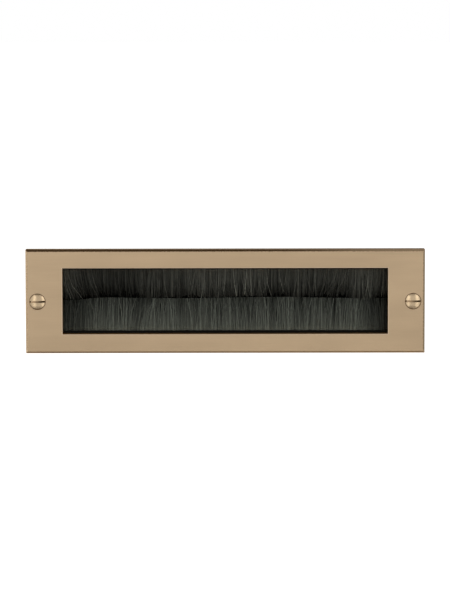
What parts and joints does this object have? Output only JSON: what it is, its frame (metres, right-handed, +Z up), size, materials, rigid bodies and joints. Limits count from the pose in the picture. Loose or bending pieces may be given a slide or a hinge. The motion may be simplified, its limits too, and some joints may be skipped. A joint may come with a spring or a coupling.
{
  "type": "inner letter plate",
  "caption": "Flat rectangular brass frame screwed over the inside of a door's letter slot, with facing nylon brushes that close the slot against draughts.",
  "frame": {"origin": "on the door's face, halfway between the two fixing screws", "axes": "+X along the plate to the right as the front is seen, +Z up, +Y into the door; the front faces -Y"},
  "size_m": [0.254, 0.0267, 0.066],
  "materials": {
    "satin_brass": "satin, lacquered",
    "turned_brass": "turned, satin",
    "black_nylon": "fine bristle",
    "black_channel": "satin black coating",
    "core_wire": "drawn",
    "rolled_brass": "rolled",
    "strip_screws": "turned"
  },
  "bodies": {
    "root": {"frame": "satin_brass", "fixing_screw_left": "turned_brass", "fixing_screw_right": "turned_brass", "upper_bristles": "black_nylon", "lower_bristles": "black_nylon", "upper_channel": "black_channel", "lower_channel": "black_channel", "upper_wire": "core_wire", "lower_wire": "core_wire", "upper_strip": "rolled_brass", "lower_strip": "rolled_brass", "upper_strip_screw_1": "strip_screws", "upper_strip_screw_2": "strip_screws", "upper_strip_screw_3": "strip_screws", "lower_strip_screw_1": "strip_screws", "lower_strip_screw_2": "strip_screws", "lower_strip_screw_3": "strip_screws"}
  },
  "joints": []
}
